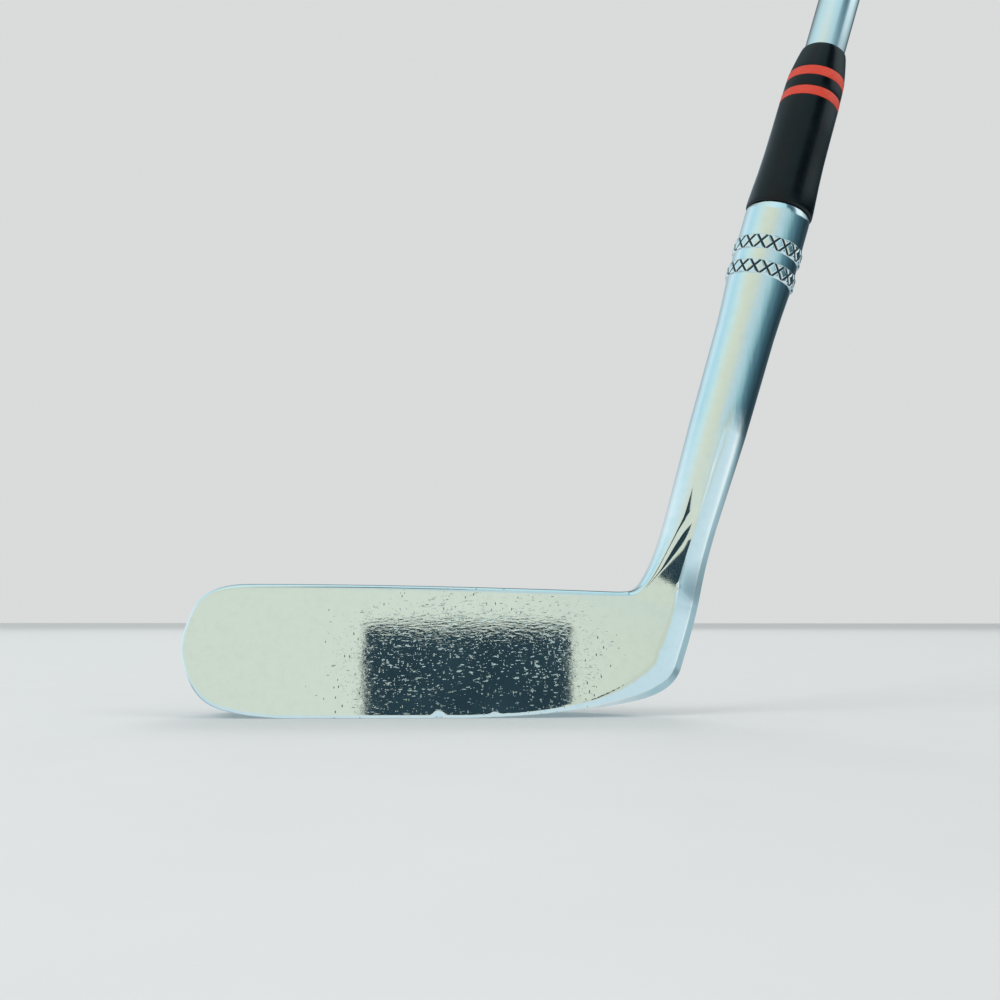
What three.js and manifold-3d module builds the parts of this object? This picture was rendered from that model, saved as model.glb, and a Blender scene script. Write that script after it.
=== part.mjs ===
// Blade putter, right-handed, 35 in along the shaft, standing at address.
// Millimetres. +Z is up, the sole is at z = 0, the toe is towards -X, the heel and the shaft towards +X,
// and the striking face looks towards -Y. The origin is the middle of the flat of the sole.
import * as THREE from "three";
import { mergeVertices } from "three/addons/utils/BufferGeometryUtils.js";
import Module from "manifold-3d";

// ---- driving dimensions ----
const LIE = 73; // degrees between the shaft and the ground
const LOFT = 2; // degrees that the face lies back
const CLUB_LENGTH = 889; // 35 in, along the shaft from the ground to the end of the cap
const AXIS_X = 58; // where the shaft axis passes AXIS_Z above the ground
const AXIS_Z = 20;
const HOSEL_TOP = 99.2; // along the axis, from that point up to the hosel's mouth

const BLADE_TOP_TOE = 28.7; // height of the top edge at the toe
const BLADE_TOP_HEEL = 27.2; // and beside the neck
const FACE_Y = -4.2; // face plane at the ground
const BACK_Y = 3.2; // back of the blade, above the flange
const FLANGE_BACK_Y = 17; // back edge of the sole flange
const FLANGE_HEIGHT = 8.5;

const HOSEL_R_TOP = 7.45;
const HOSEL_R_LOW = 5.95; // where the neck meets the blade
const BORE_R = 5.2;
const BORE_DEPTH = 33;
const KNURL_R = 7.88; // over the points of the diamonds
const KNURL_ROOT_R = 7.5;
const KNURL_PITCHES = 17; // diamonds round the hosel

const SHAFT_TIP_R = 4.7; // 0.370 in parallel tip
const SHAFT_BUTT_R = 7.62; // 0.600 in butt
const SHAFT_WALL = 0.7;
const SHAFT_STEPS = 11;
const STEP_FIRST = 190; // first step, above the hosel's mouth
const BUTT_SECTION = 290; // plain length under the grip

const GRIP_LENGTH = 266;
const GRIP_R_LOW = 10.2; // leather, at the collar
const GRIP_R_HIGH = 13.8; // leather, at the cap
const GRIP_FLAT_LOW = 10.3; // axis to the flat of the grip, at the collar
const GRIP_FLAT_HIGH = 11.0;
const LEATHER = 1.5;
const FIT = 0.2; // clearance between neighbouring pieces

const SEGMENTS = 36;
const wasm = await Module();
wasm.setup();

// ---- solids and meshes ----
const solid = (geometry) => {
  const g = geometry.index ? geometry.toNonIndexed() : geometry.clone();
  g.deleteAttribute("normal");
  g.deleteAttribute("uv");
  const merged = mergeVertices(g, 1e-4);
  return new wasm.Manifold(
    new wasm.Mesh({
      numProp: 3,
      vertProperties: merged.attributes.position.array,
      triVerts: new Uint32Array(merged.index.array),
    }),
  );
};
const geometryOf = (manifold) => {
  const m = manifold.getMesh();
  const v = new Float32Array(m.numVert * 3);
  for (let i = 0; i < m.numVert; i++)
    v.set(m.vertProperties.subarray(i * m.numProp, i * m.numProp + 3), i * 3);
  const g = new THREE.BufferGeometry();
  g.setAttribute("position", new THREE.BufferAttribute(v, 3));
  g.setIndex(new THREE.BufferAttribute(new Uint32Array(m.triVerts), 1));
  return g.toNonIndexed();
};
// A turned solid about +Z from [radius, z] points that run anticlockwise in the r-z half plane.
const turned = (points, segments = SEGMENTS) =>
  new THREE.LatheGeometry(
    points.map(([r, z]) => new THREE.Vector2(r, z)),
    segments,
  ).rotateX(Math.PI / 2);
const tube = (outer, inner, segments) => {
  const loop = [...inner.map((p) => p), ...[...outer].reverse()].reverse();
  return turned([...loop, loop[0]], segments);
};
const rod = (points, segments) => turned(points, segments);
const material = (color, roughness, metalness) =>
  new THREE.MeshStandardMaterial({ color, roughness, metalness });

const club = new THREE.Group();
const add = (parent, name, geometry, mat) => {
  geometry.computeVertexNormals();
  const mesh = new THREE.Mesh(geometry, mat);
  mesh.name = name;
  parent.add(mesh);
  return mesh;
};

// Shaft frame: its origin is the middle of the hosel's mouth, +Z runs up the shaft,
// -X is the side of the grip that carries the thumbs.
const rad = THREE.MathUtils.degToRad;
const up = new THREE.Vector3(Math.cos(rad(LIE)), 0, Math.sin(rad(LIE)));
const side = new THREE.Vector3(Math.sin(rad(LIE)), 0, -Math.cos(rad(LIE)));
const mouth = new THREE.Vector3(AXIS_X, 0, AXIS_Z).addScaledVector(up, HOSEL_TOP);
const shaftFrame = new THREE.Matrix4()
  .makeBasis(side, new THREE.Vector3(0, 1, 0), up)
  .setPosition(mouth);
const shaftGroup = new THREE.Group();
shaftGroup.applyMatrix4(shaftFrame);
club.add(shaftGroup);
const GROUND = HOSEL_TOP + AXIS_Z / Math.sin(rad(LIE)); // mouth to ground, along the axis
const BUTT_END = CLUB_LENGTH - GROUND;

// ---- materials ----
const chromePlate = material(0xd4d6d2, 0.09, 1);
const steelTube = material(0xc9ccd0, 0.12, 1);
const blackAcetate = material(0x0b0b0c, 0.15, 0);
const redAcetate = material(0xc8402e, 0.25, 0);
const brass = material(0xb08d4a, 0.35, 1);
const cork = material(0xb98d5e, 0.9, 0);
const epoxy = material(0xd8cfae, 0.4, 0);
const tapeCloth = material(0xd9cfb4, 0.85, 0);
const blackRubber = material(0x1a1a1a, 0.8, 0);
const leatherHide = material(0x2a1a12, 0.6, 0);
const thread = material(0xa83a2a, 0.7, 0);
const nickelSteel = material(0xbfc2c4, 0.25, 1);

// ---- head: blade, sole flange, flowing neck and hosel in one forging ----
// Face outline in x and z, toe to heel. The heel's edge carries on the line of the hosel.
const outline = new THREE.Shape();
outline.moveTo(48, BLADE_TOP_HEEL);
outline.lineTo(-30, BLADE_TOP_TOE);
outline.bezierCurveTo(-38.4, 28.8, -42.8, 27.4, -44.9, 23);
outline.bezierCurveTo(-46.5, 19, -47.6, 15.6, -46.5, 12);
outline.bezierCurveTo(-44.8, 6.2, -42.4, 2.9, -37, 1.6);
outline.bezierCurveTo(-31, 0.1, -27, -0.4, -22, -0.6);
outline.lineTo(22, -0.6);
outline.bezierCurveTo(34, 0, 43, 1.6, 50.4, 3.2);
outline.bezierCurveTo(56.6, 4.3, 60.4, 6.2, 61.9, 10.2);
outline.bezierCurveTo(63.2, 14.2, 64.9, 19.2, 65.9, 23.3);
outline.lineTo(66.4, 25.6);
outline.lineTo(54, 30);
outline.bezierCurveTo(52.6, 27.4, 51, 26.8, 48, BLADE_TOP_HEEL);
// An extrusion made in x-y is turned so that its depth runs along +Y and its own y runs up.
const extrudedBack = (shape, from, to, curveSegments = 7) =>
  new THREE.ExtrudeGeometry(shape, {
    depth: to - from,
    bevelEnabled: false,
    curveSegments,
  })
    .rotateX(Math.PI / 2)
    .translate(0, to, 0);
const lean = new THREE.Matrix4().makeRotationX(-rad(LOFT)); // leans the face back about the sole line
const leaned = (g) => g.applyMatrix4(lean);
let blade = solid(leaned(extrudedBack(outline, FACE_Y, BACK_Y)));

// The flange: a section in y and z swept along x, trimmed to a plan outline.
const flangeSection = new THREE.Shape();
flangeSection.moveTo(BACK_Y - 3, -1);
flangeSection.lineTo(FLANGE_BACK_Y - 2.5, -1);
flangeSection.bezierCurveTo(FLANGE_BACK_Y - 0.6, 0.4, FLANGE_BACK_Y, 2, FLANGE_BACK_Y, 3.6);
flangeSection.bezierCurveTo(FLANGE_BACK_Y - 0.4, 5.6, FLANGE_BACK_Y - 2.6, 6.4, FLANGE_BACK_Y - 5, 6.9);
flangeSection.bezierCurveTo(BACK_Y + 4, FLANGE_HEIGHT, BACK_Y + 1.2, FLANGE_HEIGHT + 1.6, BACK_Y - 0.3, FLANGE_HEIGHT + 6);
flangeSection.lineTo(BACK_Y - 3, FLANGE_HEIGHT + 6);
const flangeBar = new THREE.ExtrudeGeometry(flangeSection, {
  depth: 104,
  bevelEnabled: false,
  curveSegments: 6,
})
  .rotateX(Math.PI / 2)
  .rotateZ(Math.PI / 2)
  .translate(-46, 0, 0);
const flangePlan = new THREE.Shape();
flangePlan.moveTo(-45.5, -1);
flangePlan.bezierCurveTo(-45.5, 8, -42, 16.6, -30, FLANGE_BACK_Y);
flangePlan.bezierCurveTo(-10, FLANGE_BACK_Y + 0.5, 10, FLANGE_BACK_Y + 0.3, 24, FLANGE_BACK_Y - 1.5);
flangePlan.bezierCurveTo(38, 13, 46, 8, 58, 3);
flangePlan.lineTo(58, -1);
const flangeBlock = new THREE.ExtrudeGeometry(flangePlan, {
  depth: 40,
  bevelEnabled: false,
  curveSegments: 8,
}).translate(0, 0, -5);
const silhouette = solid(extrudedBack(outline, -20, 40));
const flange = solid(flangeBar).intersect(solid(flangeBlock)).intersect(silhouette);

// The hosel tapers down into the heel, where its end is rounded off by the outline.
const hoselBar = solid(
  rod(
    [
      [0, -GROUND - 6],
      [HOSEL_R_LOW + 0.4, -GROUND - 6],
      [HOSEL_R_LOW + 0.3, -94],
      [HOSEL_R_LOW, -80],
      [6.5, -54],
      [6.75, -30],
      [HOSEL_R_TOP, -17],
      [HOSEL_R_TOP, -0.6],
      [HOSEL_R_TOP - 0.4, 0],
      [0, 0],
    ],
  ).applyMatrix4(shaftFrame),
);
const heelTrim = new THREE.Shape();
heelTrim.moveTo(30, -0.6);
heelTrim.bezierCurveTo(38, 0, 44, 1.6, 50.4, 3.2);
heelTrim.bezierCurveTo(56.6, 4.3, 60.4, 6.2, 61.9, 10.2);
heelTrim.bezierCurveTo(63.2, 14.2, 64.9, 19.2, 65.9, 23.3);
heelTrim.lineTo(66.8, 26);
heelTrim.lineTo(115, 130);
heelTrim.lineTo(60, 140);
heelTrim.lineTo(40, 60);
// In front of the blade the neck is scooped back to the face plane, and behind it to the back.
const scoopFront = new THREE.Shape();
scoopFront.moveTo(-30, -10);
scoopFront.lineTo(FACE_Y, -10);
scoopFront.lineTo(FACE_Y, 24);
scoopFront.bezierCurveTo(FACE_Y, 31, FACE_Y - 0.9, 38, -10, 50);
scoopFront.lineTo(-30, 50);
const scoopBack = new THREE.Shape();
scoopBack.moveTo(BACK_Y + 0.4, FLANGE_HEIGHT - 14);
scoopBack.lineTo(30, FLANGE_HEIGHT - 14);
scoopBack.lineTo(30, 46);
scoopBack.lineTo(9, 46);
scoopBack.bezierCurveTo(BACK_Y + 1.4, 38, BACK_Y + 0.4, 32, BACK_Y + 0.4, 24);
const scoopBar = (shape) =>
  solid(
    leaned(
      new THREE.ExtrudeGeometry(shape, {
        depth: 160,
        bevelEnabled: false,
        curveSegments: 10,
      })
        .rotateX(Math.PI / 2)
        .rotateZ(Math.PI / 2)
        .translate(-60, 0, 0),
    ),
  );
const hosel = hoselBar
  .intersect(solid(extrudedBack(heelTrim, -30, 30)))
  .subtract(scoopBar(scoopFront))
  .subtract(scoopBar(scoopBack));

// A knurled band: one row of diamonds standing up between crossed cuts.
const knurlBand = (zTop, zLow) => {
  const columns = KNURL_PITCHES * 2;
  const g = turned(
    [
      [0, zLow],
      [KNURL_ROOT_R, zLow],
      [KNURL_ROOT_R, (zLow + zTop) / 2],
      [KNURL_ROOT_R, zTop],
      [0, zTop],
    ],
    columns,
  );
  const p = g.attributes.position;
  for (let i = 0; i < p.count; i++) {
    const [x, y, z] = [p.getX(i), p.getY(i), p.getZ(i)];
    const r = Math.hypot(x, y);
    if (r < 1) continue;
    const column = Math.round((Math.atan2(x, -y) / (2 * Math.PI)) * columns);
    const middle = Math.abs(z - (zLow + zTop) / 2) < 0.01;
    const raised = middle === (Math.abs(column) % 2 === 0);
    const k = (raised ? KNURL_R : KNURL_ROOT_R) / r;
    p.setXY(i, x * k, y * k);
  }
  return solid(g.applyMatrix4(shaftFrame));
};
const bore = solid(
  rod([
    [0, -BORE_DEPTH],
    [BORE_R, -BORE_DEPTH],
    [BORE_R, -0.7],
    [BORE_R + 0.8, 1],
    [0, 1],
  ]).applyMatrix4(shaftFrame),
);
const underground = solid(new THREE.BoxGeometry(300, 120, 40).translate(0, 0, -20));
const head = blade
  .add(flange)
  .add(hosel)
  .add(knurlBand(-8.5, -11.9))
  .add(knurlBand(-14.6, -17.8))
  .subtract(bore)
  .subtract(underground);
add(club, "blade_head", geometryOf(head), chromePlate);

// ---- in the hosel ----
const inShaft = (name, geometry, mat) => add(shaftGroup, name, geometry, mat);
inShaft(
  "epoxy_sleeve",
  tube(
    [[5.02, -BORE_DEPTH + 0.5], [5.02, -0.6]],
    [[SHAFT_TIP_R + 0.08, -BORE_DEPTH + 0.5], [SHAFT_TIP_R + 0.08, -0.6]],
  ),
  epoxy,
);
inShaft(
  "tip_weight",
  rod([
    [0, -31.8],
    [3.1, -31.8],
    [3.75, -31],
    [3.75, -14],
    [0, -14],
  ], 32),
  brass,
);
inShaft(
  "shaft_tip_plug",
  rod([
    [0, -13.5],
    [3.7, -13.5],
    [3.7, -4.5],
    [3.1, -3.5],
    [0, -3.5],
  ], 32),
  cork,
);

// ---- shaft: a stepped steel tube, open at both ends ----
const tipEnd = -BORE_DEPTH + 0.8;
const buttTube = BUTT_END - 4.4; // the tube stops under the cap
const outerWall = [[SHAFT_TIP_R - 0.25, tipEnd], [SHAFT_TIP_R, tipEnd + 0.5]];
const stepGap = (buttTube - BUTT_SECTION - STEP_FIRST) / (SHAFT_STEPS - 1);
for (let i = 0; i < SHAFT_STEPS; i++) {
  const z = STEP_FIRST + i * stepGap;
  const r = (k) => SHAFT_TIP_R + ((SHAFT_BUTT_R - SHAFT_TIP_R) * k) / SHAFT_STEPS;
  outerWall.push([r(i), z], [r(i + 1), z + 0.6]);
}
outerWall.push([SHAFT_BUTT_R, buttTube]);
const innerWall = [
  [SHAFT_TIP_R - SHAFT_WALL, tipEnd],
  [SHAFT_TIP_R - SHAFT_WALL, STEP_FIRST],
  [SHAFT_BUTT_R - SHAFT_WALL, STEP_FIRST + (SHAFT_STEPS - 1) * stepGap + 14],
  [SHAFT_BUTT_R - SHAFT_WALL, buttTube],
];
inShaft("shaft", tube(outerWall, innerWall, 32), steelTube);

// ---- ferrule: a black stack with two red trim rings ----
const FERRULE_BORE = SHAFT_TIP_R + 0.1;
const ringOf = (name, points, mat) =>
  inShaft(
    name,
    tube(points, [[FERRULE_BORE, points[0][1]], [FERRULE_BORE, points.at(-1)[1]]]),
    mat,
  );
ringOf(
  "ferrule_body",
  [[7.68, 0.15], [7.7, 1.6], [7.5, 5], [7.2, 9], [7.0, 14], [6.92, 20], [6.86, 27.4]],
  blackAcetate,
);
ringOf("lower_trim_ring", [[6.84, 27.5], [6.78, 29.7]], redAcetate);
ringOf("ferrule_spacer_ring", [[6.76, 29.8], [6.68, 32.6]], blackAcetate);
ringOf("upper_trim_ring", [[6.66, 32.7], [6.56, 35.0]], redAcetate);
ringOf(
  "ferrule_top_ring",
  [[6.54, 35.1], [6.24, 37], [5.92, 38.8], [5.6, 40.4], [5.3, 41.7], [5.1, 42.1]],
  blackAcetate,
);

// ---- grip: tape, rubber underlisting, leather, collar and cap ----
const gripLow = BUTT_END - GRIP_LENGTH;
const capLow = BUTT_END - 4;
const share = (z) => (z - gripLow) / GRIP_LENGTH;
const gripR = (z) => GRIP_R_LOW + (GRIP_R_HIGH - GRIP_R_LOW) * share(z);
const gripFlat = (z) => GRIP_FLAT_LOW + (GRIP_FLAT_HIGH - GRIP_FLAT_LOW) * share(z);
// A round of the grip's own radius, cut off by the plane of its flat. `inset` is measured inwards.
const gripSolid = (zLow, zHigh, inset, segments = SEGMENTS) => {
  const round = solid(
    rod([
      [0, zLow],
      [gripR(zLow) - inset, zLow],
      [gripR(zHigh) - inset, zHigh],
      [0, zHigh],
    ], segments),
  );
  const cut = new THREE.Shape();
  const [a, b] = [gripLow - 40, BUTT_END + 40];
  cut.moveTo(-(gripFlat(a) - inset), a);
  cut.lineTo(-(gripFlat(b) - inset), b);
  cut.lineTo(-60, b);
  cut.lineTo(-60, a);
  return round.subtract(solid(extrudedBack(cut, -40, 40)));
};
const hole = (r, zLow, zHigh, segments = SEGMENTS) =>
  solid(rod([[0, zLow], [r, zLow], [r, zHigh], [0, zHigh]], segments));
inShaft(
  "grip_tape",
  tube(
    [[SHAFT_BUTT_R + 0.4, gripLow + 15], [SHAFT_BUTT_R + 0.4, buttTube - 1]],
    [[SHAFT_BUTT_R + 0.12, gripLow + 15], [SHAFT_BUTT_R + 0.12, buttTube - 1]],
  ),
  tapeCloth,
);
const leatherLow = gripLow + 10;
const leatherHigh = capLow - FIT;
inShaft(
  "grip_underlisting",
  geometryOf(
    gripSolid(leatherLow + 3, leatherHigh, LEATHER + FIT).subtract(
      hole(SHAFT_BUTT_R + 0.55, leatherLow - 5, leatherHigh + 5),
    ),
  ),
  blackRubber,
);
inShaft(
  "grip_leather",
  geometryOf(
    gripSolid(leatherLow + 3, leatherHigh, 0).subtract(
      gripSolid(leatherLow - 5, leatherHigh + 5, LEATHER),
    ),
  ),
  leatherHide,
);
const collarLow = gripLow - 9;
inShaft(
  "grip_collar",
  tube(
    [
      [SHAFT_BUTT_R + 0.7, collarLow],
      [SHAFT_BUTT_R + 1.7, collarLow + 3],
      [GRIP_R_LOW - 0.2, leatherLow - 3],
      [GRIP_R_LOW, leatherLow - 0.2],
    ],
    [[SHAFT_BUTT_R + 0.25, collarLow], [SHAFT_BUTT_R + 0.25, leatherLow - 0.2]],
  ),
  blackAcetate,
);
inShaft(
  "collar_trim_ring",
  tube(
    [[GRIP_R_LOW + 0.15, leatherLow], [GRIP_R_LOW + 0.15, leatherLow + 2.8]],
    [[SHAFT_BUTT_R + 0.55, leatherLow], [SHAFT_BUTT_R + 0.55, leatherLow + 2.8]],
  ),
  redAcetate,
);
inShaft(
  "butt_plug",
  geometryOf(
    hole(SHAFT_BUTT_R - SHAFT_WALL - 0.15, buttTube - 32, buttTube - 0.3, 32).subtract(
      hole(1.65, buttTube - 20, buttTube + 5, 24),
    ),
  ),
  cork,
);
// The cap: a flat disc to the grip's own section, countersunk for its screw.
const capTop = BUTT_END;
const cap = gripSolid(capLow, capTop, 0.1).subtract(
  solid(
    rod([
      [0, capLow - 2],
      [1.8, capLow - 2],
      [1.8, capTop - 2.2],
      [3.6, capTop - 0.4],
      [3.6, capTop + 1],
      [0, capTop + 1],
    ], 24),
  ),
);
inShaft("butt_cap", geometryOf(cap), blackAcetate);
const screw = solid(
  rod([
    [0, buttTube - 19],
    [0.6, buttTube - 19],
    [1.5, buttTube - 17],
    [1.5, capTop - 2.3],
    [3.3, capTop - 0.5],
    [3.3, capTop - 0.2],
    [0, capTop - 0.2],
  ], 24),
).subtract(solid(new THREE.BoxGeometry(8, 0.8, 1.4).translate(0, 0, capTop - 0.2)));
inShaft("cap_screw", geometryOf(screw), nickelSteel);

export default club;
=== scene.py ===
"""A blade putter at address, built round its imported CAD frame.

Lengths are written in millimetres and made into metres when a mesh is built; the stage and the
camera are in metres. The frame is the part's own: +Z up, sole at z = 0, striking face towards -Y,
toe towards -X, shaft leaning to +X.
"""

import math

import bmesh
import bpy
import numpy as np
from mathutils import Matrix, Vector


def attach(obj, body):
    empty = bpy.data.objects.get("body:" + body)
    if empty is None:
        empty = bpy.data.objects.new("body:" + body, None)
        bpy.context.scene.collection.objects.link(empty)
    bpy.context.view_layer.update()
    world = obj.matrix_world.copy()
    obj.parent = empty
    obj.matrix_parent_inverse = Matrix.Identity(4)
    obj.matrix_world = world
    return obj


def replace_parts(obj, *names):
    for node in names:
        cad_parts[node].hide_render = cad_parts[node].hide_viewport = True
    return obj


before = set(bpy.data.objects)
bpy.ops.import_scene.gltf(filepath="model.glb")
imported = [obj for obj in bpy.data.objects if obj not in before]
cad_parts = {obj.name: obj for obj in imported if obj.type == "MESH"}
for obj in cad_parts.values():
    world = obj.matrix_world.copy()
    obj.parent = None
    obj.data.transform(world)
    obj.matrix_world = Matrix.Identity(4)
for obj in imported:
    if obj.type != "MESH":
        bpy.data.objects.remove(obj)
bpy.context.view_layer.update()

MM = 0.001

# ---------------------------------------------------------------- dimensions
LIE = math.radians(73)
CLUB_LENGTH = 889
AXIS_X, AXIS_Z = 58.0, 20.0  # where the shaft's axis meets the heel
HOSEL_LENGTH = 99.2  # from that point to the mouth
UP = np.array([math.cos(LIE), 0, math.sin(LIE)])
SIDE = np.array([math.sin(LIE), 0, -math.cos(LIE)])
MOUTH = np.array([AXIS_X, 0, AXIS_Z]) + UP * HOSEL_LENGTH  # middle of the hosel's mouth
GROUND = HOSEL_LENGTH + AXIS_Z / math.sin(LIE)  # from the mouth down the axis to the ground
BUTT_END = CLUB_LENGTH - GROUND
FACE_D, BACK_D = 4.2026, 3.2  # depths of the face and the back at the sole
LOFT_SLOPE = 0.03492  # 2 degrees
SCOOP_S, SCOOP_R = -94.5, 100.0  # where the neck's scoop leaves the face, and its radius
SCOOP_START, SCOOP_SOFT = 0.1, 0.8  # its slope where it starts, and how softly that comes in
BACK_SCOOP_S, BACK_SCOOP_R = -96, 55
THIN_EDGE_BACK, HEEL_BACK_R = 1.1, 3.2  # roundings of the back's edges
BORE_R, BORE_DEPTH = 5.1, 30
PATCH_X, PATCH_Z, PATCH_W, PATCH_H = 15.0, 11.0, 31.0, 17.5  # the ball marks: middle, half sizes


def at(x, y, s):
    """A point in the shaft's frame, s measured up the axis from the hosel's mouth."""
    x, y, s = np.broadcast_arrays(*(np.asarray(v, float) for v in (x, y, s)))
    return MOUTH + x[..., None] * SIDE + y[..., None] * np.array([0, 1.0, 0]) + s[..., None] * UP


def smoothstep(a, b, x):
    t = np.clip((np.asarray(x, float) - a) / (b - a), 0, 1)
    return t * t * (3 - 2 * t)


def smootherstep(a, b, x):
    t = np.clip((np.asarray(x, float) - a) / (b - a), 0, 1)
    return t ** 3 * (t * (t * 6 - 15) + 10)


def smin(a, b, k):
    h = np.clip(0.5 + 0.5 * (b - a) / k, 0, 1)
    return b + (a - b) * h - k * h * (1 - h)


def smax(a, b, k):
    return -smin(-a, -b, k)


def hosel_r(s):
    """Radius of the hosel down its length."""
    return np.interp(
        s,
        [-140, -92, -84, -76, -66, -54, -40, -30, -24, -19, -16, -1.2, -0.5, -0.12, 0.2],
        [6.3, 6.2, 5.95, 5.95, 6.2, 6.5, 6.65, 6.75, 7.0, 7.32, 7.42, 7.45, 7.42, 7.25, 7.0],
    )


# ---------------------------------------------------------------- mesh helpers
def linked(name, data):
    ob = bpy.data.objects.new(name, data)
    bpy.context.scene.collection.objects.link(ob)
    return ob


def piece(name, me, material, angle=None):
    """A smooth piece that rides on the one body and takes the given material."""
    ob = linked(name, me)
    me.materials.append(material)
    me.shade_smooth()
    if angle:
        me.set_sharp_from_angle(angle=math.radians(angle))
    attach(ob, "root")
    return ob


def mesh_object(name, verts, faces, material, angle=None):
    """A piece from verts in millimetres."""
    me = bpy.data.meshes.new(name)
    me.from_pydata([tuple(v) for v in np.asarray(verts) * MM], [], faces)
    me.validate()
    me.update()
    return piece(name, me, material, angle)


def ring_faces(rows, cols):
    """Quads between rows of `cols` vertices. Each row is closed, and the last meets the first."""
    faces = []
    for i in range(rows):
        a, b = i * cols, ((i + 1) % rows) * cols
        for j in range(cols):
            k = (j + 1) % cols
            faces.append((a + j, a + k, b + k, b + j))
    return faces


def round_corners(profile, radius, steps=4):
    """Rounds the corners of a closed [r, s] profile, so that edges catch the light."""
    out = []
    n = len(profile)
    for i in range(n):
        p0, p1, p2 = (np.array(profile[(i + d) % n], float) for d in (-1, 0, 1))
        a, b = p0 - p1, p2 - p1
        la, lb = np.linalg.norm(a), np.linalg.norm(b)
        turn = abs(a[0] * b[1] - a[1] * b[0]) / max(la * lb, 1e-9)
        r = min(radius, la * 0.4, lb * 0.4)
        if turn < 0.25 or r < 0.01:
            out.append(p1)
            continue
        q0, q1 = p1 + a / la * r, p1 + b / lb * r
        for t in np.linspace(0, 1, steps + 1):
            out.append((1 - t) ** 2 * q0 + 2 * t * (1 - t) * p1 + t * t * q1)
    return out


def lathe(name, outer, bore, material, segments=160, radius=0.22, shape=None):
    """A turned piece on the shaft's axis: `outer` is [r, s] points going up, `bore` its radius."""
    profile = [[bore, outer[0][1]], *outer, [bore, outer[-1][1]]]
    profile = np.array(round_corners(profile, radius))
    ang = np.linspace(0, 2 * math.pi, segments, endpoint=False)
    r = profile[:, 0][:, None] * np.ones(segments)
    s = profile[:, 1][:, None] * np.ones(segments)
    x, y = r * np.cos(ang), r * np.sin(ang)
    if shape:
        x, y = shape(x, y, s)
    verts = at(x, y, s).reshape(-1, 3)
    faces = ring_faces(len(profile), segments)
    return mesh_object(name, verts, faces, material, angle=50)


# ---------------------------------------------------------------- materials
CHROME = (0.86, 0.885, 0.875)
ALONG_SHAFT = (0, math.pi / 2 - LIE, 0)


def shader(name, color=(0.8, 0.8, 0.8), rough=0.5, metal=0.0, **sockets):
    m = bpy.data.materials.new(name)
    m.use_nodes = True
    b = m.node_tree.nodes["Principled BSDF"]
    b.inputs["Base Color"].default_value = (*color, 1)
    b.inputs["Roughness"].default_value = rough
    b.inputs["Metallic"].default_value = metal
    for k, v in sockets.items():
        b.inputs[k.replace("_", " ")].default_value = v
    return m, b


class Nodes:
    """Shorthand for wiring the nodes of one material, or of the world."""

    def __init__(self, owner):
        self.tree = owner.node_tree

    def add(self, kind, **props):
        n = self.tree.nodes.new("ShaderNode" + kind)
        for k, v in props.items():
            setattr(n, k, v)
        return n

    def link(self, a, b):
        self.tree.links.new(a, b)

    def value(self, x, socket):
        if hasattr(x, "is_output"):
            self.link(x, socket)
        else:
            socket.default_value = x

    def math(self, op, a, b=0.0):
        n = self.add("Math", operation=op)
        self.value(a, n.inputs[0])
        self.value(b, n.inputs[1])
        return n.outputs[0]

    def coords(self, scale=(1, 1, 1), rotation=(0, 0, 0)):
        """Object coordinates in millimetres, scaled and then turned."""
        tc = self.add("TexCoord")
        mp = self.add("Mapping")
        mp.inputs["Scale"].default_value = tuple(1000 * v for v in scale)
        mp.inputs["Rotation"].default_value = rotation
        self.link(tc.outputs["Object"], mp.inputs["Vector"])
        return mp.outputs[0]

    def noise(self, vec, scale, detail=4.0, rough=0.5):
        n = self.add("TexNoise")
        self.link(vec, n.inputs["Vector"])
        n.inputs["Scale"].default_value = scale
        n.inputs["Detail"].default_value = detail
        n.inputs["Roughness"].default_value = rough
        return n.outputs["Fac"]

    def ramp(self, x, lo, hi, out=(0.0, 1.0)):
        """From out[0] at x = lo to out[1] at x = hi, smoothly, and level beyond them."""
        n = self.add("MapRange", clamp=True, interpolation_type="SMOOTHSTEP")
        self.value(x, n.inputs["Value"])
        n.inputs["From Min"].default_value = lo
        n.inputs["From Max"].default_value = hi
        n.inputs["To Min"].default_value = out[0]
        n.inputs["To Max"].default_value = out[1]
        return n.outputs["Result"]

    def mix(self, fac, a, b):
        n = self.add("Mix", data_type="RGBA")
        self.value(fac, n.inputs[0])
        for x, s in ((a, n.inputs[6]), (b, n.inputs[7])):
            if hasattr(x, "is_output"):
                self.link(x, s)
            else:
                s.default_value = (*x, 1)
        return n.outputs[2]

    def bump(self, height, strength, distance, normal=None):
        n = self.add("Bump")
        n.inputs["Strength"].default_value = strength
        n.inputs["Distance"].default_value = distance
        self.link(height, n.inputs["Height"])
        if normal:
            self.link(normal, n.inputs["Normal"])
        return n.outputs[0]


def dents(n, vec, scale, size, keep, stretch=(1, 1, 1), rot=0.0):
    """Small scattered dents of random depth: one to a Voronoi cell, in a share `keep` of them."""
    mp = n.add("Mapping")
    mp.inputs["Scale"].default_value = stretch
    mp.inputs["Rotation"].default_value = (0, rot, 0)
    n.link(vec, mp.inputs["Vector"])
    v = n.add("TexVoronoi", feature="F1")
    v.inputs["Scale"].default_value = scale
    v.inputs["Randomness"].default_value = 1.0
    n.link(mp.outputs[0], v.inputs["Vector"])
    sep = n.add("SeparateColor")
    n.link(v.outputs["Color"], sep.inputs[0])
    on = n.ramp(sep.outputs[0], 1 - keep, 1 - keep * 0.4)
    hole = n.ramp(v.outputs["Distance"], size * 0.35, size, out=(1.0, 0.0))
    return n.math("MULTIPLY", on, hole)


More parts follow.
